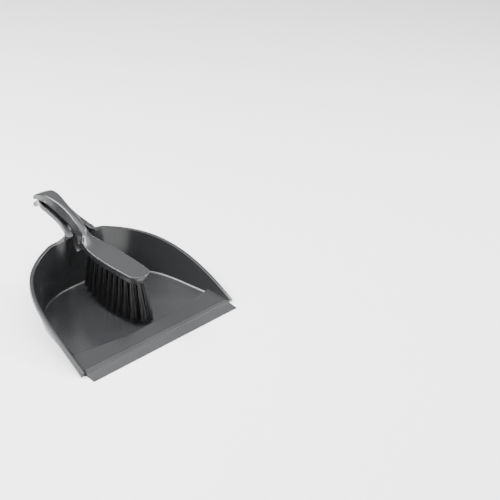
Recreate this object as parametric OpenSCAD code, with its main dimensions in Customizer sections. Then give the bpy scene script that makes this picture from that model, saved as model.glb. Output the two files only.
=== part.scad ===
// Dust pan with a lift-off hand brush.
// X runs across the pan, Y from the mouth back to the handles, Z up.
// Millimetres; the origin is under the middle of the whole set, on the floor.
// The modules work from the pan's front edge (y = 0) and are moved to the origin last.

/* [Pan] */
// Width over the rim at the mouth
pan_w = 260; // [230:1:300]
// Front edge to the outside of the rim at the back
pan_d = 187.5; // [175:0.5:200]
// Height of the rim at the back, before its shoulder beside the handle
rim_h = 85; // [80:1:90]
// Width of the rim's flange, measured from the wall
rim_w = 5.4; // [4:0.1:7]
// Depth of the skirt under the rim's outer edge
skirt_h = 5; // [3:0.5:7]
// Thickness of the walls and of the rim
wall_t = 2.3; // [1.8:0.1:3]
// Thickness of the floor
floor_t = 2.8; // [2:0.1:3.5]
// Radius where the floor turns up into the wall
fillet_r = 3.6; // [2:0.2:12]

/* [Ramp] */
// Height of the ramp's ridge
ramp_h = 9.3; // [7:0.1:12]
// Distance of the ridge behind the front edge, at the sides
ridge_side_y = 35.4; // [32:0.2:38]
// Distance of the ridge behind the front edge, in the middle
ridge_mid_y = 24.6; // [20:0.2:30]

/* [Pan handle] */
// Half width over the handle's flange
handle_hw = 16.3; // [15:0.1:18]
// Half width of the open channel in the handle
channel_hw = 13; // [12:0.1:14]
// Distance of the handle's tip behind the front edge
handle_end = 278; // [270:1:285]
// Radius of the tip, seen from above
handle_tip_r = 7.5; // [6:0.5:12]

/* [Rubber lip] */
// How far the lip reaches in front of the pan
lip_reach = 16.5; // [12:0.5:20]
// Length of the lip across the pan
lip_w = 246; // [220:1:250]

/* [Brush] */
// Height of the head's top edge when the brush stands in the pan
head_top = 77.6; // [76:0.1:79]
// Depth of the head at the front
head_depth = 11.6; // [10:0.1:13]
// Distance of the head's front behind the pan's front edge
head_front = 34.9; // [33:0.1:37]
// Half width of the head at its widest
head_hw = 18.4; // [17:0.1:20]
// Distance of the brush handle's tip behind the pan's front edge
grip_end = 271; // [266:0.5:274]

/* [Tufts] */
// Tufts in each outer row
outer_n = 10; // [6:1:11]
// Tufts in each inner row
inner_n = 11; // [6:1:11]
// Distance between tufts along a row
tuft_pitch = 10.4; // [10:0.1:10.4]
// Radius of a tuft's folded root and of its hole
root_r = 2; // [1.6:0.1:2.1]
// Radius of a tuft where it leaves the head
tuft_r = 2.3; // [2.2:0.1:2.5]
// Radius of a tuft at its tips
tip_r = 3.9; // [3:0.1:4.2]
// Depth of the holes in the head
hole_depth = 9; // [8:0.5:9]
// Gap between the tips and the pan's floor
tip_gap = 0.4; // [0.3:0.1:1]

/* [Hidden] */
$fn = 32;
steps = 40;
tuft_n = 2 * (outer_n + inner_n);
tuft_names = [for (i = [1 : tuft_n]) str("tuft_", i < 10 ? "0" : "", i)];
mid_y = (handle_end - lip_reach) / 2;
grey = [0.25, 0.255, 0.265];
black = [0.05, 0.05, 0.055];

// The curve that the pan's inside follows at floor level, from the mouth to the middle of the back
base_c = [[pan_w / 2 - 6.5, 0], [pan_w / 2 - 33, 72], [pan_w / 2 - 1, 171.5], [4, 171.5]];
// The outer edge of the rim, from the mouth to the middle of the back
rim_c = [[pan_w / 2, 0, 5.6], [pan_w / 2 - 1.1, 104.5, 62.1], [pan_w / 2 - 9.1, 180.7, 55.4], [7.1, pan_d, rim_h]];

// The pan handle's top line in two stretches, as (y, z)
top_a = [[172, 88.5], [194, 97.5], [220, 103], [247, 106.2]];
top_b = [[247, 106.2], [258, 107], [266, 97], [handle_end, 88]];
// The underside of its channel
belly_a = [[172, 52], [184, 64], [191, 90], [229, 97]];
belly_b = [[229, 97], [243, 100], [256, 99], [270, 88.5]];
// Depth of the handle's flanges, more towards the tip
function side_h(y) = 5.6 + 3.4 * smooth(236, 262, y);
// Where the channel leaves the back wall, and how much wider its flange is there
channel_y = 172.7;
flare = 4.4;

// ---- curves and skins ----

function bez(c, t) = pow(1 - t, 3) * c[0] + 3 * pow(1 - t, 2) * t * c[1] + 3 * (1 - t) * t * t * c[2]
    + pow(t, 3) * c[3];
function bez_d(c, t) = 3 * pow(1 - t, 2) * (c[1] - c[0]) + 6 * (1 - t) * t * (c[2] - c[1])
    + 3 * t * t * (c[3] - c[2]);
// The parameter at which a curve of (y, z) reaches y
function solve(c, y, a = 0, b = 1, n = 22) = n == 0 ? (a + b) / 2
    : bez(c, (a + b) / 2)[0] < y ? solve(c, y, (a + b) / 2, b, n - 1) : solve(c, y, a, (a + b) / 2, n - 1);
function at_y(c, y) = bez(c, solve(c, y))[1];
function two(c, d, y) = y < c[3][0] ? at_y(c, y) : at_y(d, min(y, d[3][0]));
function smooth(a, b, x) = let (u = max(0, min(1, (x - a) / (b - a)))) u * u * (3 - 2 * u);
function mix(a, b, u) = a * (1 - u) + b * u;
function unit(v) = v / norm(v);
// The level way out of the pan at t, square to a curve
function outward(c, t) = let (d = bez_d(c, t)) unit([d[1], -d[0]]);
function flip_x(p) = len(p) == 2 ? [-p[0], p[1]] : [-p[0], p[1], p[2]];
// A half section given from the middle line outwards, closed by its mirror image
function whole(half) = concat(half, [for (i = [len(half) - 1 : -1 : 0]) if (half[i][0] > 0.001) flip_x(half[i])]);
function pow2(v, e) = sign(v) * pow(abs(v), e);

// A closed skin over rings of points that run clockwise seen from the first end, with flat ends
module skin(rings, reverse = false) {
    n = len(rings);
    m = len(rings[0]);
    sides = [for (i = [0 : n - 2]) for (j = [0 : m - 1]) let (k = (j + 1) % m)
        each [[i * m + j, i * m + k, (i + 1) * m + k], [i * m + j, (i + 1) * m + k, (i + 1) * m + j]]];
    first = [for (j = [m - 1 : -1 : 0]) j];
    last = [for (j = [0 : m - 1]) (n - 1) * m + j];
    faces = concat(sides, [first, last]);
    turned = [for (f = faces) [for (k = [len(f) - 1 : -1 : 0]) f[k]]];
    polyhedron([for (r = rings) each r], reverse ? turned : faces, convexity = 8);
}

// ---- pan ----

// Beside the handle the rim rises in a short shoulder, leaning inwards, and the back wall stands upright
function rim_at(t) = let (p = bez(rim_c, t)) p + [0, -10 * smooth(48, 18, p[0]), 5.5 * smooth(36, 16, p[0])];

function wall_ring(t) =
    let (b = bez(base_c, t), nb = outward(base_c, t), r = rim_at(t), nr = outward(rim_c, t))
    let (w = rim_w + 1.2 * smooth(60, 25, r[0]), inner = [r[0], r[1]] - nr * w, top = r[2])
    let (rise = max(top - floor_t, 1), lean = (inner - b) / rise)
    let (fr = min(fillet_r * smooth(12, 46, b[1]) + 0.6, rise * 0.6))
    let (low = max(top - skirt_h, 0.4), foot = b + nb * wall_t)
    let (under = top - wall_t, far = inner + nr * (wall_t + 0.2), tilt = 3 * smooth(45, 25, r[0]))
    concat(
        [[foot[0], foot[1], 0], [far[0], far[1], under - tilt / 2]],
        [for (q = [[w - wall_t * 0.7, under], [w - wall_t * 0.7, low], [w, low], [w, top - 0.9],
            [w - 0.9, top], [0.9, top], [0, top - 0.9]]) let (p = inner + nr * q[0])
            [p[0], p[1], q[1] - tilt * (1 - q[0] / w)]],
        [for (a = [90 : -22.5 : 0]) let (h = fr * (1 - cos(a)), p = b - nb * fr * (1 - sin(a)) + lean * h)
            [p[0], p[1], floor_t + h]],
        [let (p = b - nb * fr) [p[0], p[1], 0]]);

module wall() {
    half = [for (i = [0 : steps]) wall_ring(1 - pow(1 - i / steps, 1.5))];
    skin(concat(half, [for (i = [steps : -1 : 0]) [for (p = half[i]) flip_x(p)]]));
}

function ridge_y(x) = ridge_mid_y + (ridge_side_y - ridge_mid_y) * pow(x / (pan_w / 2 - 12.6), 2);
// Half width to the middle of the wall near the mouth
function mouth_hw(y) = pan_w / 2 - 5.4 - y * 0.225;

module floor_plate() {
    front_t = 0.2;
    back = [for (i = [0 : steps]) let (t = front_t + (1 - front_t) * i / steps)
        bez(base_c, t) - outward(base_c, t) * 1.5];
    edge = mouth_hw(ridge_side_y);
    front = [for (i = [1 : 23]) let (x = edge * (i / 12 - 1)) [x, ridge_y(x) + 1]];
    left = [for (i = [steps : -1 : 0]) [-back[i][0], back[i][1]]];
    linear_extrude(floor_t)
        polygon(concat([[edge, ridge_side_y + 1]], back, left, [[-edge, ridge_side_y + 1]], front));
}

// The ramp behind the mouth: a thin tongue for the lip, a slope, a ridge and a drop to the floor
function ramp_ring(u) =
    let (yr = ridge_y(u * (pan_w / 2 - 12.6)))
    [for (p = [[0.6, 0.9], [0.6, 2], [5.9, 2.9], [5.9, 3.95], [yr - 4, ramp_h - 0.75], [yr - 1.5, ramp_h - 0.1],
        [yr, ramp_h - 0.4], [yr + 1, ramp_h - 1.6], [yr + 3.2, floor_t], [yr + 3.2, 0], [yr + 0.6, 0],
        [yr - 1.2, ramp_h - 3], [yr - 3.5, ramp_h - 2.9], [7, 1.2]]) [u * mouth_hw(p[0]), p[0], p[1]]];

module ramp() {
    n = 24;
    skin([for (i = [0 : n]) ramp_ring(2 * i / n - 1)]);
}

// Webs under the ramp, from the tongue back to the drop
module ramp_webs() {
    for (i = [-4 : 4])
        let (x = i * 25, yr = ridge_y(x))
            hull() {
                translate([x - 0.7, 8, 0])
                    cube([1.4, yr - 6, 1.5]);
                translate([x - 0.7, yr - 4, 0])
                    cube([1.4, 4.5, ramp_h - 2]);
            }
}

// One station of the handle's channel, half of it, as (x, z) from the top inner edge round to the middle
function channel_half(y, hw, in) =
    let (zt = two(top_a, top_b, y), zs = zt - side_h(y), zb = min(two(belly_a, belly_b, y), zs - 0.6))
    let (out = in + wall_t, deep = zs - zb, shallow = max(deep - wall_t, 0.2))
    concat(
        [for (a = [0 : 15 : 75]) [in * pow2(sin(a), 0.7), zs - shallow * pow2(cos(a), 0.7)]],
        [[in, zs], [in, zt - 0.8], [in + 0.7, zt], [hw - 0.8, zt], [hw, zt - 0.8], [hw, zs], [out, zs]],
        [for (a = [75 : -15 : 0]) [out * pow2(sin(a), 0.7), zs - deep * pow2(cos(a), 0.7)]]);

// Where the tip starts to turn round, in front of the bead
turn_y = handle_end - 5 - handle_tip_r;

// Half width of the handle, flared at the root and narrowing to its round tip
function handle_half_w(y) = mix(handle_hw, handle_tip_r, smooth(236, turn_y, y))
    + flare * smooth(200, channel_y, y);

module handle_channel() {
    n = 30;
    y0 = channel_y;
    y1 = turn_y;
    skin([for (i = [0 : n])
        let (y = y0 + (y1 - y0) * i / n, hw = handle_half_w(y))
        let (half = channel_half(y, hw, min(channel_hw, hw - handle_hw + channel_hw)))
        let (loop = concat([for (k = [0 : len(half) - 1]) half[k]],
            [for (k = [len(half) - 2 : -1 : 1]) [-half[k][0], half[k][1]]]))
        [for (p = loop) [p[0], y, p[1]]]], reverse = true);
}

// The solid round tip of the handle, turned down at its end
module handle_tip() {
    n = 12;
    skin([for (i = [0 : n])
        let (a = i * 88 / n, y = turn_y - 7 + (handle_tip_r + 7) * sin(a))
        let (k = y < turn_y ? 1 : sqrt(max(0, 1 - pow((y - turn_y) / handle_tip_r, 2))) + 0.02)
        let (hw = handle_half_w(min(y, turn_y)) * k, zt = two(top_a, top_b, y), h = 4.4 * sqrt(k))
        whole([for (b = [-90 : 20 : 90]) [hw * pow2(cos(b), 0.5), y, zt - 4.6 + h * pow2(sin(b), 0.7)]])]);
}

// The rolled bead under the tip's end
module tip_bead() {
    translate([0, handle_end - 4, 87.6])
        scale([1.25, 1, 1])
            sphere(4);
}

// Flat rounded pads where the rim turns into the handle on both sides of the notch
pad_r = 2.3;
pad_at = [18, 172.6, 87.6];

module lobes() {
    for (s = [-1, 1])
        hull() {
            for (a = [0 : 30 : 330])
                translate([s * (pad_at[0] + 3.1 * cos(a)), pad_at[1] + 3.7 * sin(a),
                    pad_at[2] - 0.8 * cos(a) + 1.1 * sin(a)])
                    sphere(pad_r, $fn = 20);
            for (x = [15, 25])
                translate([s * x, channel_y + 0.1, 79])
                    sphere(1.2, $fn = 20);
        }
}

// The notch for the brush's neck: the channel's own inside shape, cut through the back wall
module notch() {
    inner = [for (k = [0 : 6]) channel_half(channel_y, handle_hw, channel_hw - 0.1)[k]];
    translate([0, channel_y + 20, 0.15])
        rotate([90, 0, 0])
            linear_extrude(40)
                polygon(whole(concat(inner, [[channel_hw - 0.1, 120]])));
}

module pan_shell() {
    color(grey)
        union() {
            difference() {
                wall();
                notch();
            }
            lobes();
            floor_plate();
            ramp();
            ramp_webs();
            handle_channel();
            handle_tip();
            tip_bead();
        }
}

// ---- rubber lip ----

module rubber_lip() {
    color(grey) {
        // the blade in front of the pan
        translate([lip_w / 2, 0, 0])
            rotate([90, 0, -90])
                linear_extrude(lip_w)
                    polygon([[0.3, 0.5], [0.3, 2.85], [1.6, 2.7], [lip_reach - 0.3, 0.9], [lip_reach, 0.6],
                        [lip_reach, 0.1], [lip_reach - 0.2, 0], [lip_reach - 4, 0]]);
        // the two flanges that grip the pan's front edge
        translate([lip_w / 2 - 2.7, 0, 0])
            rotate([90, 0, -90])
                linear_extrude(lip_w - 5.4)
                    polygon([[0.5, 0.5], [0.5, 2.8], [-0.2, 2.95], [-5.8, 3.9], [-5.8, 2.95], [-0.55, 2.05],
                        [-0.55, 0.85], [-6.2, 0.85], [-6.2, 0]]);
    }
}

// ---- brush ----

// Half width of the head's top edge
function head_w(y) = y < 51 ? 16.5 * sqrt(max(0, 1 - pow((51 - y) / (51 - head_front), 2)))
    : y < 95 ? mix(16.5, head_hw, sin(90 * (y - 51) / 44))
    : head_hw - 3.2 * pow((y - 95) / 42, 2) * smooth(60, 145, y) - 2.2 * smooth(138, 172, y);
// Height of its top edge and of its middle line
function head_z(y) = head_top + 5.5 * pow(max(0, y - 112) / 48, 2.2);
function head_crown(y) = 0.5 + 7.5 * smooth(118, 168, y);

module head() {
    ys = [for (a = [4 : 12 : 88]) 51 - (51 - head_front) * cos(a)];
    zb = head_top - head_depth;
    skin([for (y = concat(ys, [for (y = [54 : 5 : 164]) y]))
        let (w = head_w(y), z = head_z(y), k = min(1, w / 12), c = head_crown(y))
        whole([[0, y, z + c], [w * 0.55, y, z + c * 0.62], [w - 1.4 * k, y, z], [w - 0.3 * k, y, z - 0.6],
            [w, y, z - 1.8], [w - 0.6 * k, y, zb + 4.5], [w - 1 * k, y, zb + 3.8], [w - 1.7 * k, y, zb + 0.6],
            [w - 2.3 * k, y, zb], [0, y, zb]])], reverse = true);
}

// The grip's top line, underside and half widths along y
grip_top_a = [[146, 80], [164, 98], [184, 108.5], [214, 116.5]];
grip_top_b = [[214, 116.5], [238, 122.5], [262, 118], [grip_end, 100.5]];
grip_low_a = [[150, 66.2], [172, 67], [160, 93.6], [196, 97.2]];
grip_low_b = [[196, 97.2], [222, 104.5], [248, 115], [grip_end, 98.2]];

function grip_tip_k(y) = y < grip_end - 9 ? 1 : sqrt(max(0, 1 - pow((y - grip_end + 9) / 9, 2))) + 0.03;
function grip_top_w(y) = 3.9 + 6 * smooth(196, 250, y);
function grip_low_w(y) = 10 + 1.5 * smooth(200, 246, y);

module grip() {
    n = 34;
    y0 = 152;
    skin([for (i = [0 : n])
        let (y = y0 + (grip_end - y0) * sin(90 * pow(i / n, 0.8) * 0.998))
        let (zt = two(grip_top_a, grip_top_b, y) - 2.2, zb = two(grip_low_a, grip_low_b, y), k = grip_tip_k(y))
        let (wt = grip_top_w(y) * k, wb = grip_low_w(y) * k, h = max(zt - zb, 1.2), c = 2.2 * k + 0.1)
        whole([[0, y, zt + c], [wt * 0.6, y, zt + c * 0.7], [wt - 0.4 * k, y, zt + 0.1],
            [wt + 0.3 * k, y, zt - 0.7 * k], [mix(wt, wb, 0.75), y, mix(zt, zb, 0.6)], [wb, y, zb + 0.35 * h],
            [wb, y, zb + 0.9 * k], [wb - 0.8 * k, y, zb], [0, y, zb]])], reverse = true);
}

// The hollow under the grip: a row of pockets with cross webs left between them
module grip_pockets() {
    pitch = 8.6;
    for (y = [180 : pitch : 253])
        hull()
            for (e = [y, y + pitch - 1.6])
                let (zt = two(grip_top_a, grip_top_b, e) - 4.6, zb = two(grip_low_a, grip_low_b, e) - 2)
                    translate([0, e + 0.1, 0])
                        rotate([90, 0, 0])
                            linear_extrude(0.1)
                                polygon([for (p = whole([[grip_top_w(e) - 1.8, zt], [grip_low_w(e) - 2.4, mix(zt, zb, 0.7)],
                                    [grip_low_w(e) - 2.4, zb]])) [p[0], p[1]]]);
}

// Places of the tufts on the head's underside: outer rows left and right, then inner rows
outer_y0 = 50;
inner_y0 = 43;
function row_x(y) = head_w(y) - 6.4;
roots = concat(
    [for (s = [-1, 1]) for (i = [0 : outer_n - 1]) let (y = outer_y0 + i * tuft_pitch) [s * row_x(y), y]],
    [for (s = [-1, 1]) for (i = [0 : inner_n - 1]) let (y = inner_y0 + i * tuft_pitch)
        [s * (i == 0 ? 4.1 : row_x(y) / 3 + 0.6), y]]);
under_z = head_top - head_depth;
// Tips spread outwards, the front ones forwards too, and the trim rises a little at both ends
function tip_xy(p) = [p[0] * 1.25 + 4 * exp(-(p[1] - inner_y0) / 20),
    p[1] - 9.5 * exp(-(p[1] - inner_y0) / 14) + 2 * smooth(100, 150, p[1])];
function tip_rise(y) = 3 * exp(-(y - inner_y0) / 10) + 11 * pow(max(0, y - 80) / 67, 1.8);

module tuft(i) {
    p = roots[i];
    q = tip_xy(p);
    low = floor_t + tip_gap + tip_rise(p[1]);
    root_h = hole_depth - 1.9;
    lean = [q[0] - p[0], q[1] - p[1], low + 0.35 - under_z];
    color(black) {
        // folded root in the hole
        translate([p[0], p[1], under_z - 1.2])
            cylinder(r = root_r, h = root_h + 1.2);
        // filaments, wider towards the tips
        translate([p[0], p[1], under_z])
            rotate([0, 0, atan2(lean[1], lean[0])])
                rotate([0, 180 - atan2(norm([lean[0], lean[1]]), -lean[2]), 0])
                    cylinder(r1 = tuft_r, r2 = tip_r * min(1, row_x(p[1]) / 10.5), h = norm(lean));
    }
}

// Flat wire staples driven across the holes, each holding a folded tuft
module tuft_anchors() {
    color([0.6, 0.6, 0.6])
        for (p = roots)
            translate([p[0] - root_r - 0.4, p[1] - 0.25, under_z + hole_depth - 1.85])
                cube([2 * root_r + 0.8, 0.5, 1.6]);
}

module tuft_holes() {
    for (p = roots)
        translate([p[0], p[1], under_z - 1])
            cylinder(r = root_r, h = hole_depth + 1, $fn = 16);
}

module brush_block() {
    color(grey)
        difference() {
            union() {
                head();
                grip();
            }
            grip_pockets();
            tuft_holes();
        }
}

translate([0, -mid_y, 0]) {
    pan_shell();
    rubber_lip();
    brush_block();
    tuft_anchors();
    for (i = [0 : tuft_n - 1])
        tuft(i);
}
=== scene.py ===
"""A grey dust pan with its hand brush lying in it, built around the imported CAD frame."""

import math
import random

import bmesh
import bpy
import numpy as np
from mathutils import Matrix, Vector


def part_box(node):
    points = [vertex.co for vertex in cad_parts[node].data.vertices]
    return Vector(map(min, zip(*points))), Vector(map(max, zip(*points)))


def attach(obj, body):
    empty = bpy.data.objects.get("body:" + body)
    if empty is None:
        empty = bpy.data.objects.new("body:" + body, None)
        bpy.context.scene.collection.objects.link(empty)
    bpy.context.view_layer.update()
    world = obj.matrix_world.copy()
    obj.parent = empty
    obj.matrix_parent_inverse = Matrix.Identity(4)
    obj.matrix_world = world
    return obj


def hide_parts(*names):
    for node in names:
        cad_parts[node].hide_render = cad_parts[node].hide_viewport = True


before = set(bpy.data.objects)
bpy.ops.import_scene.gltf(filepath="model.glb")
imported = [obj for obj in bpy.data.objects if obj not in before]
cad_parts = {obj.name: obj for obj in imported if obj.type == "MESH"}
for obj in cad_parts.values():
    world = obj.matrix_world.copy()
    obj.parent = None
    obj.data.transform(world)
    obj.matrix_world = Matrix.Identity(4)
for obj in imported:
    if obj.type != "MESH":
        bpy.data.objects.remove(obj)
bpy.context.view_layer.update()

MM = 0.001

# ---- sizes in millimetres: x from the middle, y back from the pan's front edge, z up ----

PAN_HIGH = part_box("pan_shell")[1]
BLOCK_LOW, BLOCK_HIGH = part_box("brush_block")
LIP_LOW, LIP_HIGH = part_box("rubber_lip")
TUFTS = sorted(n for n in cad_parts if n.startswith("tuft_") and n != "tuft_anchors")

# the pan's floor, wall and rim
HALF_W = PAN_HIGH.x / MM
HANDLE_END = 278.0
FRONT_Y = PAN_HIGH.y / MM - HANDLE_END
PAN_D = 187.5
RIM_H = 85.0
RIM_W = 5.4
SKIRT_H = 5.0
WALL_T = 2.3
FLOOR_T = 2.8
FILLET_R = 2.9
RAMP_H = 9.3
RIDGE_SIDE_Y = 35.4
RIDGE_MID_Y = 24.6
RIDGE_HW = HALF_W - 12.6
WEB_PITCH = 25
WEB_T = 1.4

# the pan's handle, a channel that is open at the top
HANDLE_HW = 16.3
CHANNEL_HW = 13.0
HANDLE_TIP_R = 7.5
TURN_Y = HANDLE_END - 5 - HANDLE_TIP_R
CHANNEL_Y = 172.7
CHANNEL_POINTS = 12
FLARE = 4.4
PAD_R = 2.0
PAD_AT = (18.2, 172, 87)
PAD_REACH = (3.5, 5.2)
PAD_SLOPE = (-1.0, 1.4)
PAD_ROOT_R = 1.2
PAD_ROOT_X = (15, 25)
PAD_ROOT_Z = 79
BEAD_R = 4
BEAD_AT = (0, HANDLE_END - 4, 87.6)

# the lip
LIP_REACH = -LIP_LOW.y / MM + FRONT_Y
LIP_HALF = LIP_HIGH.x / MM
LIP_STEP = 2.7

# the brush's head
HEAD_FRONT = BLOCK_LOW.y / MM - FRONT_Y
HEAD_HW = BLOCK_HIGH.x / MM
HEAD_TOP = 77.6
HEAD_LOW = BLOCK_LOW.z / MM
NOSE_Y = 51.0
NOSE_R = 16.5
HEAD_EDGE_R = 1.6
HOLE_R = 2.0
HOLE_DEPTH = 9.0

# the brush's grip, with a panel sunk into each side
GRIP_END = BLOCK_HIGH.y / MM - FRONT_Y
ROUND_END = 9
CROWN = 0.7
PANEL_DEPTH = 1.1
PANEL_Y = 156.8
PANEL_LEAN = 4.5

# the pockets under the grip, with a web between each two
POCKET_ENDS = (180, 253)
POCKET_PITCH = 8.6
POCKET_WEB = 1.6
POCKET_ROOF = 4.6
POCKET_TOP_SIDE = 1.8
POCKET_LOW_SIDE = 2.4

# the filaments: radii, how far they spread at the root and tip, and how uneven they are
FILAMENT_ROOT_R = 0.2
FILAMENT_TIP_R = 0.12
ROOT_SPREAD = 1.75
TIP_SPREAD = 1.5
TIP_SCATTER = 0.35
TIP_UNEVEN = 0.7
BOW = 0.5
SEED = 7

# a rib of the brush: points over the top, then (out, down) of the chamfer, then shares down the side
TOP_STEPS = 12
BEVEL = ((0.1, 0.06), (0.22, 0.16), (0.7, 0.58), (1.15, 1.06), (1.26, 1.22), (1.33, 1.4))
PANEL_AT = (0.01, 0.04, 0.1, 0.3, 0.5, 0.7, 0.9, 0.96)
BOTTOM_STEPS = 6

# Bezier curves: the wall's foot as (x, y), its rim as (x, y, z), and the others as (y, z)
BASE_C = np.array([[HALF_W - 6.5, 0], [HALF_W - 33, 72], [HALF_W - 1, 171.5], [4, 171.5]])
RIM_C = np.array([[HALF_W, 0, 5.6], [HALF_W - 1.1, 104.5, 62.1],
                  [HALF_W - 9.1, 180.7, 55.4], [7.1, PAN_D, RIM_H]])
TOP_A = np.array([[172, 88.5], [194, 97.5], [220, 103], [247, 106.2]])
TOP_B = np.array([[247, 106.2], [258, 107], [266, 97], [HANDLE_END, 88]])
BELLY_A = np.array([[172, 52], [184, 64], [191, 90], [229, 97]])
BELLY_B = np.array([[229, 97], [243, 100], [256, 99], [270, 88.5]])
GRIP_TOP_A = np.array([[146, 80], [164, 98], [184, 108.5], [214, 116.5]])
GRIP_TOP_B = np.array([[214, 116.5], [238, 122.5], [262, 118], [GRIP_END, 100.5]])
GRIP_LOW_A = np.array([[150, 66.2], [172, 67], [160, 93.6], [196, 97.2]])
GRIP_LOW_B = np.array([[196, 97.2], [222, 104.5], [248, 115], [GRIP_END, 98.2]])

# angles of a quarter turn, for small rounded edges
QUARTER = np.radians([0, 30, 60, 90])
FINE_QUARTER = np.radians([15, 30, 45, 60, 75, 90])
GOLDEN_TURN = 2.39996

# linear colours
PAN_GREY = (0.017, 0.0174, 0.0185)
BRUSH_GREY = (0.02, 0.0205, 0.0218)
LIP_GREY = (0.024, 0.0245, 0.0257)
BRISTLE_BLACK = (0.005, 0.005, 0.0055)
WIRE_GREY = (0.6, 0.6, 0.6)
FLOOR_DARKER = (0.925, 0.925, 0.925)
FLOOR_GREY = (0.93, 0.93, 0.93)
FLOOR_LIGHTER = (0.935, 0.935, 0.935)

# roughness
PAN_ROUGH = 0.19
BRUSH_ROUGH = 0.2
HANDLING = 0.06
RUBBER_ROUGH = (0.3, 0.38)
BRISTLE_ROUGH = (0.34, 0.5)
WIRE_ROUGH = (0.28, 0.5)

# the lights, in metres and watts: place, (width, height), power
KEY_LIGHT = ((-0.3, -0.3, 1.7), (2.6, 2.1), 85)
STRIP_LIGHT = ((-0.75, 0.7, 1.15), (1.5, 0.35), 55)
SIDE_LIGHT = ((1.3, -0.6, 1.3), (0.5, 0.5), 30)
LIGHTS_AIM = (0, 0, 0.04)
FLOOR_DROP = 0.0002

# the sky: its strength goes from dim to bright between two heights, as shares of straight up
SKY_HEIGHTS = (0.05, 0.65)
SKY_STRENGTHS = (0.22, 1.25)

# the camera: its place, its directions in degrees, its lens
CAMERA_AT = (-644.9, -725.2 + FRONT_Y, 692.7)
CAMERA_TURN = 48.01
CAMERA_TILT = 29.8
CAMERA_ROLL = 3.9
SENSOR_W = 36
LENS = 64.84


# ---- curves ----


def bez(c, t):
    """The point at t of a cubic Bezier curve with the four control points c."""
    return (1 - t) ** 3 * c[0] + 3 * (1 - t) ** 2 * t * c[1] + 3 * (1 - t) * t * t * c[2] + t**3 * c[3]


def bez_slope(c, t):
    """The curve's derivative at t."""
    return 3 * (1 - t) ** 2 * (c[1] - c[0]) + 6 * (1 - t) * t * (c[2] - c[1]) + 3 * t * t * (c[3] - c[2])


def at_y(c, y):
    """The height of a curve of (y, z) at y."""
    low, high = 0.0, 1.0
    for _ in range(30):
        mid = (low + high) / 2
        if bez(c, mid)[0] < y:
            low = mid
        else:
            high = mid
    return float(bez(c, (low + high) / 2)[1])


def two(c, d, y):
    """The height at y of two curves of (y, z), one after the other."""
    return at_y(c, y) if y < c[3][0] else at_y(d, min(y, d[3][0]))


def smooth(a, b, x):
    """0 where x is at a, 1 where it is at b, eased at both."""
    u = max(0.0, min(1.0, (x - a) / (b - a)))
    return u * u * (3 - 2 * u)


def mix(a, b, u):
    return a * (1 - u) + b * u


def outward(c, t):
    """The level way out of the pan, square to a curve."""
    d = bez_slope(c, t)
    n = np.array([d[1], -d[0]])
    return n / np.linalg.norm(n)


def power(v, e):
    """A power that keeps the sign of its base, which squares off a round section."""
    return math.copysign(abs(v) ** e, v)


# ---- meshes ----


def to_world(points):
    """Millimetres from the pan's front edge, into metres in the frame."""
    p = np.asarray(points, float).copy()
    p[:, 1] += FRONT_Y
    return p * MM


def new_object(name, data):
    obj = bpy.data.objects.new(name, data)
    bpy.context.scene.collection.objects.link(obj)
    return obj


def make_object(name, points, faces):
    mesh = bpy.data.meshes.new(name)
    mesh.from_pydata([tuple(p) for p in to_world(points)], [], faces)
    mesh.update()
    return new_object(name, mesh)


def from_bmesh(name, bm):
    mesh = bpy.data.meshes.new(name)
    bm.to_mesh(mesh)
    bm.free()
    return new_object(name, mesh)


def tidy_normals(obj, weld=0.0):
    """Turns the normals outwards, after joining points closer than weld."""
    bm = bmesh.new()
    bm.from_mesh(obj.data)
    if weld:
        bmesh.ops.remove_doubles(bm, verts=bm.verts, dist=weld * MM)
        bmesh.ops.dissolve_degenerate(bm, edges=bm.edges, dist=1e-7)
    bmesh.ops.recalc_face_normals(bm, faces=bm.faces)
    bm.to_mesh(obj.data)
    bm.free()


def skin(name, rings):
    """A closed solid over rings of points, with flat ends and normals outwards."""
    m = len(rings[0])
    points = [p for ring in rings for p in ring]
    faces = []
    for i in range(len(rings) - 1):
        for j in range(m):
            k = (j + 1) % m
            faces.append((i * m + j, i * m + k, (i + 1) * m + k, (i + 1) * m + j))
    faces.append(tuple(range(m - 1, -1, -1)))
    faces.append(tuple(range((len(rings) - 1) * m, len(rings) * m)))
    obj = make_object(name, points, faces)
    tidy_normals(obj)
    return obj


def hull_of(name, points):
    """The smallest closed solid without hollows around the points."""
    bm = bmesh.new()
    for p in to_world(points):
        bm.verts.new(p)
    found = bmesh.ops.convex_hull(bm, input=bm.verts)
    loose = [v for v in found["geom_interior"] if isinstance(v, bmesh.types.BMVert)]
    bmesh.ops.delete(bm, geom=loose, context="VERTS")
    bmesh.ops.recalc_face_normals(bm, faces=bm.faces)
    return from_bmesh(name, bm)


def apply_modifiers(obj):
    dg = bpy.context.evaluated_depsgraph_get()
    mesh = bpy.data.meshes.new_from_object(obj.evaluated_get(dg))
    obj.modifiers.clear()
    obj.data = mesh


def combine(obj, tool, operation):
    """Cuts a closed solid out of another, or joins the two into one skin."""
    mod = obj.modifiers.new("combine", "BOOLEAN")
    mod.operation = operation
    mod.solver = "MANIFOLD"
    mod.object = tool
    apply_modifiers(obj)
    bpy.data.objects.remove(tool)


def shade_smooth(obj, sharp=35):
    obj.data.polygons.foreach_set("use_smooth", [True] * len(obj.data.polygons))
    obj.data.set_sharp_from_angle(angle=math.radians(sharp))
    obj.data.update()


def ball(centre, r, rows):
    """Rings of points over a sphere, from its bottom to its top."""
    x, y, z = centre
    rings = []
    for a in np.radians(np.linspace(-88, 88, rows)):
        out, up = r * math.cos(a), r * math.sin(a)
        turns = np.radians(np.arange(0, 360, 12))
        rings.append([(x + out * math.cos(b), y + out * math.sin(b), z + up) for b in turns])
    return rings


# ---- pan ----


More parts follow.
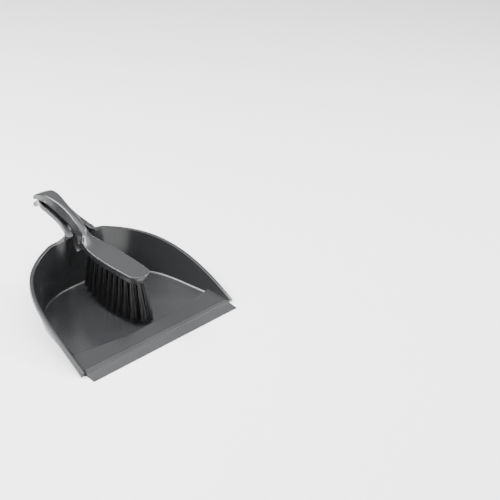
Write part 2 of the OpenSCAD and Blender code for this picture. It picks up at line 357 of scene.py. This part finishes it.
def rim_at(t):
    """The rim's outer edge, which turns up into the neck near the middle."""
    p = bez(RIM_C, t)
    return p + np.array([0, -10 * smooth(48, 18, p[0]), 5.5 * smooth(36, 16, p[0])])


def wall_ring(t):
    """The wall's cut square to it: outer face, skirt, rim, inner face, and the fillet into the floor."""
    b, nb = bez(BASE_C, t), outward(BASE_C, t)
    r, nr = rim_at(t), outward(RIM_C, t)
    edge = RIM_W + 1.2 * smooth(60, 25, r[0])
    inner, top = r[:2] - nr * edge, r[2]
    rise = max(top - FLOOR_T, 1)
    lean = (inner - b) / rise
    fillet = min(FILLET_R * smooth(12, 46, b[1]) + 0.6, rise * 0.6)
    low = max(top - SKIRT_H, 0.4)
    foot = b + nb * WALL_T
    under = top - WALL_T
    far = inner + nr * (WALL_T + 0.2)
    tilt = 3 * smooth(45, 25, r[0])
    ring = [(*foot, 0), (*far, under - tilt / 2)]
    profile = [(edge - WALL_T * 0.7, under), (edge - WALL_T * 0.7, low), (edge, low)]
    profile += [(edge - 1 + math.cos(a), top - 1 + math.sin(a)) for a in QUARTER]
    profile += [(1 - math.sin(a), top - 1 + math.cos(a)) for a in QUARTER]
    for out, z in profile:
        ring.append((*(inner + nr * out), z - tilt * (1 - out / edge)))
    for a in np.radians(np.arange(90, -1, -11.25)):
        h = fillet * (1 - math.cos(a))
        ring.append((*(b - nb * fillet * (1 - math.sin(a)) + lean * h), FLOOR_T + h))
    ring.append((*(b - nb * fillet), 0))
    return np.array(ring)


def mirror(points):
    return points * np.array([-1, 1, 1])


def wall(steps=150):
    """The wall with its rim, from the mouth's right corner round the back to its left."""
    half = [wall_ring(1 - (1 - i / steps) ** 1.5) for i in range(steps + 1)]
    return skin("wall", half + [mirror(r) for r in reversed(half)])


def ridge_y(x):
    """The ramp's bowed ridge."""
    return RIDGE_MID_Y + (RIDGE_SIDE_Y - RIDGE_MID_Y) * (x / RIDGE_HW) ** 2


def mouth_hw(y):
    """Half width to the middle of the wall near the mouth."""
    return HALF_W - 5.4 - y * 0.225


def floor_plate(steps=90):
    """The flat floor between the ramp and the wall's foot."""
    start = 0.2
    back = [bez(BASE_C, t) - outward(BASE_C, t) * 1.5 for t in np.linspace(start, 1, steps)]
    edge = mouth_hw(RIDGE_SIDE_Y)
    front = [(x, ridge_y(x) + 1) for x in np.linspace(-edge, edge, 50)[1:-1]]
    outline = [(edge, RIDGE_SIDE_Y + 1)] + [tuple(p) for p in back]
    outline += [(-p[0], p[1]) for p in reversed(back)] + [(-edge, RIDGE_SIDE_Y + 1)] + front
    return skin("floor_plate", [[(*p, z) for p in outline] for z in (0, FLOOR_T)])


def ramp(steps=60):
    """The hollow slope behind the mouth, with the ledge that the lip's flange lies on."""
    rings = []
    for u in np.linspace(-1, 1, steps):
        y = ridge_y(u * RIDGE_HW)
        section = [(0.6, 0.9), (0.6, 2), (5.9, 2.9), (5.9, 3.95),
                   (y - 4, RAMP_H - 0.75), (y - 2.4, RAMP_H - 0.3), (y - 1.2, RAMP_H - 0.1),
                   (y - 0.2, RAMP_H - 0.4), (y + 0.7, RAMP_H - 1.4), (y + 3.2, FLOOR_T),
                   (y + 3.2, 0), (y + 0.6, 0), (y - 1.2, RAMP_H - 3), (y - 3.5, RAMP_H - 2.9),
                   (7, 1.2)]
        rings.append([(u * mouth_hw(a), a, b) for a, b in section])
    return skin("ramp", rings)


def ramp_webs():
    """Thin webs under the ramp, from front to back."""
    webs = []
    for x in range(-100, 101, WEB_PITCH):
        y = ridge_y(x)
        section = [(8, 0), (y + 2, 0), (y + 0.5, RAMP_H - 2), (y - 4, RAMP_H - 2), (8, 1.5)]
        sides = (-WEB_T / 2, WEB_T / 2)
        webs.append(skin("web", [[(x + s, a, b) for a, b in section] for s in sides]))
    return webs


def side_h(y):
    """Depth of the handle's flanges, more towards the tip."""
    return 5.6 + 3.4 * smooth(236, 262, y)


def channel_half(y, hw, inside):
    """Half a section of the channel, as (x, z): the inside of its floor in CHANNEL_POINTS, then round."""
    zt = two(TOP_A, TOP_B, y)
    zs = zt - side_h(y)
    zb = min(two(BELLY_A, BELLY_B, y), zs - 0.6)
    out = inside + WALL_T
    deep = zs - zb
    shallow = max(deep - WALL_T, 0.2)
    angles = np.radians(np.arange(0, 76, 7.5))
    line = [(inside * power(math.sin(a), 0.7), zs - shallow * power(math.cos(a), 0.7)) for a in angles]
    line += [(inside, zs), (inside, zt - 1)]
    line += [(inside + 1 - math.cos(a), zt - 1 + math.sin(a)) for a in QUARTER[1:]]
    line += [(hw - 1 + math.sin(a), zt - 1 + math.cos(a)) for a in QUARTER]
    line += [(hw, zs), (max(out, hw - 2), zs), (out, zs - 0.05)]
    line += [(out * power(math.sin(a), 0.7), zs - deep * power(math.cos(a), 0.7)) for a in angles[::-1]]
    return line


def handle_half_w(y):
    narrow = mix(HANDLE_HW, HANDLE_TIP_R, smooth(236, TURN_Y, y))
    return narrow + FLARE * smooth(200, CHANNEL_Y, y)


def handle_channel(steps=80):
    """The handle, from the wall's back to where its round end starts."""
    rings = []
    for y in np.linspace(CHANNEL_Y, TURN_Y, steps):
        hw = handle_half_w(y)
        half = channel_half(y, hw, min(CHANNEL_HW, hw - HANDLE_HW + CHANNEL_HW))
        loop = half + [(-x, z) for x, z in half[-2:0:-1]]
        rings.append([(x, y, z) for x, z in loop])
    return skin("handle_channel", rings)


def handle_tip(steps=24):
    """The solid rounded end of the handle."""
    rings = []
    for a in np.radians(np.linspace(0, 89, steps)):
        y = TURN_Y - 7 + (HANDLE_TIP_R + 7) * math.sin(a)
        k = 1.0
        if y >= TURN_Y:
            k = math.sqrt(max(0, 1 - ((y - TURN_Y) / HANDLE_TIP_R) ** 2)) + 0.02
        hw = handle_half_w(min(y, TURN_Y)) * k
        middle = two(TOP_A, TOP_B, y) - 4.6
        h = 4.4 * math.sqrt(k)
        half = [(hw * power(math.cos(b), 0.5), middle + h * power(math.sin(b), 0.7))
                for b in np.radians(np.arange(-90, 91, 10))]
        rings.append([(x, y, z) for x, z in half] + [(-x, y, z) for x, z in half[-2:0:-1]])
    return skin("handle_tip", rings)


def lobes():
    """Flat rounded pads beside the neck notch, drawn down into the wall."""
    made = []
    for s in (-1, 1):
        balls = []
        for a in np.radians(np.arange(0, 360, 20)):
            x = PAD_AT[0] + PAD_REACH[0] * math.cos(a)
            y = PAD_AT[1] + PAD_REACH[1] * math.sin(a)
            z = PAD_AT[2] + PAD_SLOPE[0] * math.cos(a) + PAD_SLOPE[1] * math.sin(a)
            balls.append(ball((s * x, y, z), PAD_R, 11))
        balls += [ball((s * x, CHANNEL_Y + 0.1, PAD_ROOT_Z), PAD_ROOT_R, 11) for x in PAD_ROOT_X]
        made.append(hull_of("lobe", [p for rings in balls for ring in rings for p in ring]))
    return made


def tip_bead():
    """The rolled bead under the end of the pan's handle."""
    rings = ball(BEAD_AT, BEAD_R, 24)
    return skin("tip_bead", [[(x * 1.25, y, z) for x, y, z in ring] for ring in rings])


def notch():
    """The cut through the wall and rim where the brush's neck passes."""
    inside = CHANNEL_HW - 0.1
    half = channel_half(CHANNEL_Y, HANDLE_HW + FLARE, inside)[:CHANNEL_POINTS] + [(inside, 120)]
    loop = half + [(-x, z) for x, z in reversed(half) if x > 0.001]
    return skin("notch", [[(x, y, z + 0.15) for x, z in loop] for y in (CHANNEL_Y - 20, CHANNEL_Y + 20)])


def pan_shell():
    """The whole pan as one skin."""
    obj = wall()
    obj.name = "pan_moulding"
    combine(obj, notch(), "DIFFERENCE")
    for solid in lobes() + [floor_plate(), ramp(), handle_channel(), handle_tip(), tip_bead()] + ramp_webs():
        combine(obj, solid, "UNION")
    shade_smooth(obj)
    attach(obj, "pan")
    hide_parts("pan_shell")
    return obj


# ---- rubber lip ----


def rubber_lip():
    """The blade in front of the pan, with the flange that lies on the ramp."""
    blade = [(5.8, 3.9), (3, 3.52), (0.6, 3.08), (0.3, 3.3), (-0.1, 3.52), (-0.6, 3.58),
             (-1.1, 3.45), (-1.4, 3.15), (-1.5, 2.75), (-1.9, 2.55), (-LIP_REACH + 0.6, 0.95),
             (-LIP_REACH + 0.15, 0.8), (-LIP_REACH, 0.5), (-LIP_REACH + 0.1, 0.12), (-LIP_REACH + 0.5, 0),
             (-LIP_REACH + 4, 0), (-0.3, 0.45), (0.5, 0), (6.2, 0), (6.2, 0.85), (0.55, 0.85), (0.55, 2.05),
             (5.8, 2.95)]
    ends = LIP_HALF - np.array([0, 0.12, 0.5])
    rings = []
    for x in [*-ends, *np.linspace(-LIP_HALF + 4, LIP_HALF - 4, 60), *ends[::-1]]:
        pinch = 1 if abs(x) < LIP_HALF - 0.4 else 0.94
        side = min(1, (LIP_HALF - LIP_STEP) / max(abs(x), 1e-6))
        front = [(x, y, mix(1.2, z, pinch) if 0.3 < z < 3 else z) for y, z in blade]
        rings.append([p if p[1] < 0.1 else (x * side, p[1], z) for p, (_, z) in zip(front, blade)])
    obj = skin("lip_blade", rings)
    tidy_normals(obj, weld=0.001)
    shade_smooth(obj)
    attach(obj, "pan")
    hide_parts("rubber_lip")
    return obj


# ---- brush ----


def head_w(y):
    """Half width of the head, from the round nose to the waist before the neck."""
    if y < 95:
        return mix(NOSE_R, HEAD_HW, math.sin(math.radians(90 * max(0, y - NOSE_Y) / 44)))
    return HEAD_HW - 3.2 * ((y - 95) / 42) ** 2 * smooth(60, 145, y) - 2.2 * smooth(138, 172, y)


def head_z(y):
    """Height of the head's top edge, which rises into the neck."""
    return HEAD_TOP + 5.5 * (max(0, y - 112) / 48) ** 2.2


def head_profile(y, w):
    """From the middle of the top round to the middle of the underside, as (out, z)."""
    z, c, low = head_z(y), 0.5 + 7.5 * smooth(118, 168, y), HEAD_LOW
    r = HEAD_EDGE_R
    line = [(u * (w - r), z + c * (1 - u * u)) for u in np.linspace(0, 1, TOP_STEPS)]
    line += [(w - r + r * math.sin(a), z - r + r * math.cos(a)) for a in FINE_QUARTER]
    line += [(w, z - 2), (w - 0.05, z - 2.4), (w - 0.1, z - 2.8), (w - 0.3, z - 4), (w - 0.55, low + 5.4)]
    line += [(w - 0.7, low + 4.9), (w - 1.25, low + 4.6), (w - 1.4, low + 4.2)]
    line += [(w - 1.8, low + 1.4), (w - 2, low + 0.6), (w - 2.5, low + 0.12), (w - 3.1, low)]
    line += [(w * 0.4, low), (0, low)]
    return line


def grip_top_w(y):
    return 3.9 + 6 * smooth(196, 250, y)


def grip_low_w(y):
    return 10 + 1.5 * smooth(200, 246, y)


def grip_profile(y, k=1.0):
    """The grip's profile, with as many points as the head's."""
    zt, zb = two(GRIP_TOP_A, GRIP_TOP_B, y) - CROWN, two(GRIP_LOW_A, GRIP_LOW_B, y)
    wt, wb = grip_top_w(y) * k, grip_low_w(y) * k
    h, c = max(zt - zb, 1.2), CROWN * k
    line = [(u * wt, zt + c * (1 - u * u)) for u in np.linspace(0, 1, TOP_STEPS)]
    line += [(wt + d * k, zt - e * k) for d, e in BEVEL]
    start, end = np.array([wt + 1.35 * k, zt - 1.55 * k]), np.array([wb, zb + min(1.9, 0.3 * h)])
    line += [tuple(start + (end - start) * u) for u in PANEL_AT]
    line += [(wb, zb + 0.8 * k), (wb - 0.1 * k, zb + 0.4 * k), (wb - 0.45 * k, zb + 0.1 * k)]
    line += [(wb - 1 * k, zb), (wb * 0.4, zb), (0, zb)]
    return line


def panel_start(line):
    """The index of a profile's first point in the side panel."""
    return len(line) - len(PANEL_AT) - BOTTOM_STEPS


def with_panel(y, line):
    """Sinks the side panel into a profile, with a crisp front edge and a back end that fades out."""
    first = panel_start(line)
    start, end = np.array(line[first]), np.array(line[first + len(PANEL_AT) - 1])
    along = (end - start) / max(np.linalg.norm(end - start), 1e-6)
    inward = np.array([along[1], -along[0]])
    depth = PANEL_DEPTH * smooth(PANEL_Y, PANEL_Y + 0.8, y) * (1 - smooth(222, 250, y))
    sunk = list(line)
    for i, u in enumerate(PANEL_AT):
        if 0.05 < u < 0.95:
            sunk[first + i] = tuple(np.array(line[first + i]) + inward * depth)
    return sunk


def brush_profile(y):
    """The head's profile, turning into the grip's along the neck."""
    u = smooth(151, 162, y)
    both = zip(head_profile(min(y, 162), head_w(min(y, 162))), grip_profile(y))
    return [(mix(a[0], b[0], u), mix(a[1], b[1], u)) for a, b in both]


def leaning_rib(y):
    """A rib whose lower points stand further back near the panel's front edge, as that edge leans."""
    w = smooth(146, 155, y) * (1 - smooth(164, 182, y))
    flat = brush_profile(y)
    n = len(flat)
    first = panel_start(flat)
    lean = [w * PANEL_LEAN * min(1, max(0, (i - first + 1) / len(PANEL_AT))) for i in range(n)]
    line = [brush_profile(y + s)[i] if s > 0.01 else flat[i] for i, s in enumerate(lean)]
    return [(d, y + s, z) for (d, z), s in zip(with_panel(y, line), lean)]


def turned_rib(origin_y, angle, profile):
    """A rib's points: out from the middle line at an angle, 0 to the front and 90 to the side."""
    s, c = math.sin(angle), math.cos(angle)
    return [(d * s, origin_y - d * c, z) for d, z in profile]


def brush_ribs():
    """The brush's right half, in ribs from nose to grip end, closest together at the panel's front."""
    ribs = []
    nose = head_profile(NOSE_Y, NOSE_R)
    for a in np.radians(np.linspace(0, 90, 22)):
        squash = mix((NOSE_Y - HEAD_FRONT) / NOSE_R, 1, math.sin(a) ** 2)
        ribs.append(turned_rib(NOSE_Y, a, [(d * squash, z) for d, z in nose]))
    tip_y = GRIP_END - ROUND_END
    ribs += [leaning_rib(y) for y in np.arange(NOSE_Y + 2, 150, 2.5)]
    ribs += [leaning_rib(y) for y in np.arange(150.3, 172, 0.35)]
    ribs += [leaning_rib(y) for y in [*np.arange(172.5, tip_y, 1.5), tip_y]]
    last = grip_profile(tip_y)
    reach = last[TOP_STEPS + len(BEVEL) - 1][0]
    for a in np.radians(np.linspace(94, 180, 18)):
        shape = grip_profile(tip_y - ROUND_END * math.cos(a))
        drop = [(d, mix(zl, zs, d / reach)) for (d, zl), (_, zs) in zip(last, shape)]
        squash = mix(ROUND_END / reach, 1, math.sin(a) ** 2)
        ribs.append(turned_rib(tip_y, a, [(d * squash, z) for d, z in drop]))
    return ribs


def grip_pockets():
    """The hollow under the grip: a row of pockets with cross webs left between them."""
    made = []
    for y in np.arange(*POCKET_ENDS, POCKET_PITCH):
        points = []
        for e in (y, y + POCKET_PITCH - POCKET_WEB):
            top, low = two(GRIP_TOP_A, GRIP_TOP_B, e) - POCKET_ROOF, two(GRIP_LOW_A, GRIP_LOW_B, e) - 2
            side = grip_low_w(e) - POCKET_LOW_SIDE
            half = [(grip_top_w(e) - POCKET_TOP_SIDE, top), (side, mix(top, low, 0.7)), (side, low)]
            points += [(s * x, e, z) for x, z in half for s in (-1, 1)]
        made.append(hull_of("pocket", points))
    return made


def tuft_holes():
    """The round holes the tufts are pressed into, as one cutting tool."""
    bm = bmesh.new()
    for node in TUFTS:
        root = tuft_axis(node)[0]
        middle = to_world([(root[0], root[1], HEAD_LOW + (HOLE_DEPTH - 1) / 2)])[0]
        bmesh.ops.create_cone(bm, cap_ends=True, segments=20, radius1=HOLE_R * MM, radius2=HOLE_R * MM,
                              depth=(HOLE_DEPTH + 1) * MM, matrix=Matrix.Translation(middle))
    return from_bmesh("holes", bm)


def brush_block():
    """The brush's moulding: its ribs skinned, then the pockets and the tufts' holes cut out."""
    ribs = brush_ribs()
    loop = ribs + [[(-x, y, z) for x, y, z in rib] for rib in reversed(ribs)]
    m = len(loop[0])
    points = [p for rib in loop for p in rib]
    faces = []
    for i in range(len(loop)):
        n = (i + 1) % len(loop)
        for j in range(m - 1):
            faces.append((i * m + j, n * m + j, n * m + j + 1, i * m + j + 1))
    obj = make_object("brush_moulding", points, faces)
    tidy_normals(obj, weld=0.002)
    for tool in grip_pockets() + [tuft_holes()]:
        combine(obj, tool, "DIFFERENCE")
    shade_smooth(obj)
    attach(obj, "brush")
    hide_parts("brush_block")
    return obj


# ---- bristles ----


def tuft_axis(node):
    """The root and tip centres of a tuft and its tip radius, read from its CAD solid."""
    co = np.array([v.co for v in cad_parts[node].data.vertices]) / MM
    co[:, 1] -= FRONT_Y
    low, high = co[:, 2].min(), co[:, 2].max()
    tips, roots = co[co[:, 2] < low + 1.5], co[co[:, 2] > high - 0.5]
    tip = (tips.max(0) + tips.min(0)) / 2
    root = (roots.max(0) + roots.min(0)) / 2
    return root, np.array([tip[0], tip[1], low]), (tips.max(0) - tips.min(0))[0] / 2


def bristles(node, rng, count=140, sides=4, steps=6):
    """Fine tapered filaments, straight in their hole, then spreading to the tips, each a little bent."""
    root, tip, spread = tuft_axis(node)
    points, faces = [], []
    for i in range(count):
        ring_r = math.sqrt((i + 0.5) / count)
        turn = i * GOLDEN_TURN + rng.uniform(-0.2, 0.2)
        at = np.array([math.cos(turn), math.sin(turn)]) * ring_r
        top = np.array([root[0] + at[0] * ROOT_SPREAD, root[1] + at[1] * ROOT_SPREAD, HEAD_LOW])
        jitter = np.array([rng.gauss(0, TIP_SCATTER), rng.gauss(0, TIP_SCATTER)])
        reach = at * spread * TIP_SPREAD + jitter
        low = np.array([tip[0] + reach[0], tip[1] + reach[1], tip[2] + abs(rng.gauss(0, TIP_UNEVEN))])
        bow = np.array([rng.gauss(0, BOW) - at[0] * BOW, rng.gauss(0, BOW) - at[1] * BOW, 0])
        spine = [top + np.array([0, 0, HOLE_DEPTH - 2])]
        spine += [mix(top, low, u) + bow * math.sin(math.pi * u) for u in np.linspace(0, 1, steps)]
        first = len(points)
        for s, centre in enumerate(spine):
            r = mix(FILAMENT_ROOT_R, FILAMENT_TIP_R, s / steps)
            for k in range(sides):
                a = 2 * math.pi * k / sides + turn
                points.append((centre[0] + r * math.cos(a), centre[1] + r * math.sin(a), centre[2]))
        for s in range(steps):
            for k in range(sides):
                n = (k + 1) % sides
                a, b = first + s * sides, first + (s + 1) * sides
                faces.append((a + k, a + n, b + n, b + k))
        faces.append(tuple(first + k for k in range(sides)))
        faces.append(tuple(first + steps * sides + k for k in range(sides - 1, -1, -1)))
    obj = make_object(node.replace("tuft", "filaments"), points, faces)
    tidy_normals(obj)
    shade_smooth(obj)
    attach(obj, "brush")
    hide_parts(node)
    return obj


# ---- materials ----


def new_material(name, color, roughness, specular=0.5):
    """A material with its tree and shader."""
    mat = bpy.data.materials.new(name)
    mat.use_nodes = True
    shader = mat.node_tree.nodes["Principled BSDF"]
    shader.inputs["Base Color"].default_value = (*color, 1)
    shader.inputs["Roughness"].default_value = roughness
    shader.inputs["Specular IOR Level"].default_value = specular
    return mat, mat.node_tree, shader


def noise_node(tree, scale, detail, stretch=(1, 1, 1)):
    """Noise fixed to the object, slower along an axis whose stretch is below 1."""
    coords = tree.nodes.new("ShaderNodeTexCoord")
    mapping = tree.nodes.new("ShaderNodeMapping")
    mapping.inputs["Scale"].default_value = stretch
    tree.links.new(coords.outputs["Object"], mapping.inputs["Vector"])
    tex = tree.nodes.new("ShaderNodeTexNoise")
    tex.inputs["Scale"].default_value = scale
    tex.inputs["Detail"].default_value = detail
    tree.links.new(mapping.outputs["Vector"], tex.inputs["Vector"])
    return tex.outputs["Fac"]


def remap(tree, value, low, high, to_low=0.0, to_high=1.0):
    """Carries a value from low...high over to to_low...to_high."""
    node = tree.nodes.new("ShaderNodeMapRange")
    node.inputs["From Min"].default_value = low
    node.inputs["From Max"].default_value = high
    node.inputs["To Min"].default_value = to_low
    node.inputs["To Max"].default_value = to_high
    tree.links.new(value, node.inputs["Value"])
    return node.outputs["Result"]


def scaled(color, factor):
    return tuple(c * factor for c in color)


def colour_between(tree, fac, a, b):
    node = tree.nodes.new("ShaderNodeMix")
    node.data_type = "RGBA"
    node.inputs["A"].default_value = (*a, 1)
    node.inputs["B"].default_value = (*b, 1)
    tree.links.new(fac, node.inputs["Factor"])
    return node.outputs["Result"]


def bump(tree, height, strength, distance, under=None):
    node = tree.nodes.new("ShaderNodeBump")
    node.inputs["Strength"].default_value = strength
    node.inputs["Distance"].default_value = distance
    tree.links.new(height, node.inputs["Height"])
    if under is not None:
        tree.links.new(under, node.inputs["Normal"])
    return node.outputs["Normal"]


def moulded_plastic(name, color, rough):
    """Polypropylene: faint flow marks in its colour, fine orange peel, and dull handling marks."""
    mat, tree, shader = new_material(name, color, rough)
    flow = remap(tree, noise_node(tree, 9, 1, stretch=(1, 0.35, 1)), 0.1, 0.9)
    colour = colour_between(tree, flow, scaled(color, 0.94), scaled(color, 1.05))
    tree.links.new(colour, shader.inputs["Base Color"])
    marks = remap(tree, noise_node(tree, 25, 1), 0.1, 0.9, rough, rough + HANDLING)
    tree.links.new(marks, shader.inputs["Roughness"])
    peel = bump(tree, noise_node(tree, 900, 2), 0.04, 0.0003)
    waves = bump(tree, noise_node(tree, 60, 1), 0.02, 0.001, peel)
    tree.links.new(waves, shader.inputs["Normal"])
    return mat


def soft_rubber(name, color):
    """Rubber: paler where dust lies, a little dull, with a fine grain."""
    mat, tree, shader = new_material(name, color, 0.3)
    dust = remap(tree, noise_node(tree, 40, 2, stretch=(0.25, 1, 1)), 0.1, 0.95)
    colour = colour_between(tree, dust, color, scaled(color, 1.25))
    tree.links.new(colour, shader.inputs["Base Color"])
    dull = remap(tree, noise_node(tree, 60, 2), 0.1, 0.9, *RUBBER_ROUGH)
    tree.links.new(dull, shader.inputs["Roughness"])
    grain = bump(tree, noise_node(tree, 1500, 2), 0.04, 0.0003)
    tree.links.new(grain, shader.inputs["Normal"])
    return mat


def filament(name, color):
    """Black filaments, some paler than others along their whole length."""
    mat, tree, shader = new_material(name, color, 0.42)
    shade = remap(tree, noise_node(tree, 700, 2, stretch=(1, 1, 0.05)), 0.3, 0.7)
    colour = colour_between(tree, shade, color, scaled(color, 1.9))
    tree.links.new(colour, shader.inputs["Base Color"])
    dull = remap(tree, noise_node(tree, 260, 3), 0.3, 0.7, *BRISTLE_ROUGH)
    tree.links.new(dull, shader.inputs["Roughness"])
    return mat


def drawn_wire(name, color):
    """Steel wire with draw marks across its gloss."""
    mat, tree, shader = new_material(name, color, 0.35)
    shader.inputs["Metallic"].default_value = 1.0
    marks = remap(tree, noise_node(tree, 2000, 3, stretch=(0.1, 1, 1)), 0.3, 0.7, *WIRE_ROUGH)
    tree.links.new(marks, shader.inputs["Roughness"])
    return mat


def paint(obj, mat):
    obj.data.materials.clear()
    obj.data.materials.append(mat)


# ---- surroundings ----


def pale_floor(size=6.0):
    """A plain floor just under the object, so that the two don't share a plane."""
    mesh = bpy.data.meshes.new("floor")
    corners = [(-size, -size, 0), (size, -size, 0), (size, size, 0), (-size, size, 0)]
    mesh.from_pydata(corners, [], [(0, 1, 2, 3)])
    floor = new_object("floor", mesh)
    floor.location.z = -FLOOR_DROP
    mat, tree, shader = new_material("pale_floor", FLOOR_GREY, 0.6, 0.2)
    tint = remap(tree, noise_node(tree, 3, 2), 0.3, 0.7)
    colour = colour_between(tree, tint, FLOOR_DARKER, FLOOR_LIGHTER)
    tree.links.new(colour, shader.inputs["Base Color"])
    paint(floor, mat)


def sky():
    """White light from above that falls off towards the horizon."""
    world = bpy.data.worlds.new("studio")
    bpy.context.scene.world = world
    world.use_nodes = True
    tree = world.node_tree
    coords = tree.nodes.new("ShaderNodeTexCoord")
    parts = tree.nodes.new("ShaderNodeSeparateXYZ")
    tree.links.new(coords.outputs["Generated"], parts.inputs["Vector"])
    background = tree.nodes["Background"]
    background.inputs["Color"].default_value = (1, 1, 1, 1)
    strength = remap(tree, parts.outputs["Z"], *SKY_HEIGHTS, *SKY_STRENGTHS)
    tree.links.new(strength, background.inputs["Strength"])


def area_light(name, place, size, power):
    """A soft box of (width, height) metres that faces the object."""
    light = bpy.data.lights.new(name, "AREA")
    light.shape = "RECTANGLE"
    light.size, light.size_y = size
    light.energy = power
    obj = new_object(name, light)
    obj.location = place
    obj.rotation_euler = (Vector(LIGHTS_AIM) - obj.location).to_track_quat("-Z", "Y").to_euler()


def camera():
    """A long lens that looks down at the set from beyond the pan's left front corner, rolled a little."""
    turn, tilt, roll = math.radians(CAMERA_TURN), math.radians(CAMERA_TILT), math.radians(CAMERA_ROLL)
    ahead = Vector((math.sin(turn) * math.cos(tilt), math.cos(turn) * math.cos(tilt), -math.sin(tilt)))
    level = Vector((math.cos(turn), -math.sin(turn), 0))
    rise = level.cross(ahead)
    right = level * math.cos(roll) + rise * math.sin(roll)
    up = rise * math.cos(roll) - level * math.sin(roll)
    data = bpy.data.cameras.new("camera")
    data.sensor_width = SENSOR_W
    data.lens = LENS
    obj = new_object("camera", data)
    obj.matrix_world = Matrix((right, up, -ahead)).transposed().to_4x4()
    obj.location = Vector(CAMERA_AT) * MM
    bpy.context.scene.camera = obj


# ---- everything together ----

camera()
pale_floor()
sky()
area_light("key", *KEY_LIGHT)
area_light("strip", *STRIP_LIGHT)
area_light("side", *SIDE_LIGHT)

pan_plastic = moulded_plastic("pan_grey", PAN_GREY, PAN_ROUGH)
brush_plastic = moulded_plastic("brush_grey", BRUSH_GREY, BRUSH_ROUGH)
lip_rubber = soft_rubber("lip_grey", LIP_GREY)
bristle_black = filament("bristle_black", BRISTLE_BLACK)
staple_wire = drawn_wire("staple_wire", WIRE_GREY)

paint(pan_shell(), pan_plastic)
paint(rubber_lip(), lip_rubber)
paint(brush_block(), brush_plastic)
rng = random.Random(SEED)
for name in TUFTS:
    paint(bristles(name, rng), bristle_black)
paint(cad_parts["tuft_anchors"], staple_wire)
